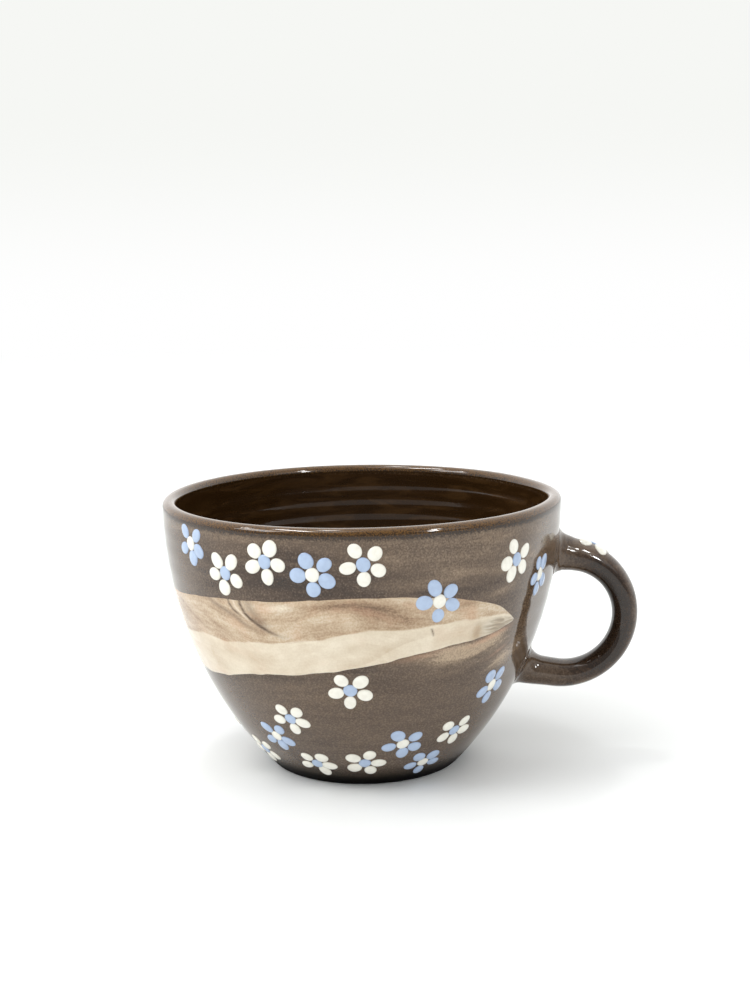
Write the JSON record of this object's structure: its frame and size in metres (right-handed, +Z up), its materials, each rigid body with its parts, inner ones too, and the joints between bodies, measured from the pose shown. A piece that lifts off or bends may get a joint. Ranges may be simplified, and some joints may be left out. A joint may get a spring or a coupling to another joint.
{
  "type": "mug",
  "caption": "Wide rounded pottery mug with a one-finger ring handle, a marbled clay band and small flowers made of raised slip dots.",
  "frame": {"origin": "centre of the foot, on the surface that the mug stands on", "axes": "+Z up along the axis of the cup, +X towards the handle"},
  "size_m": [0.1317, 0.1104, 0.075],
  "materials": {
    "brown_glaze": "gloss",
    "marbled_clay": "gloss",
    "cream_slip": "gloss",
    "blue_slip": "gloss"
  },
  "bodies": {
    "root": {"mug": "brown_glaze", "marbled_band": "marbled_clay", "cream_dots": "cream_slip", "blue_dots": "blue_slip"}
  },
  "joints": []
}
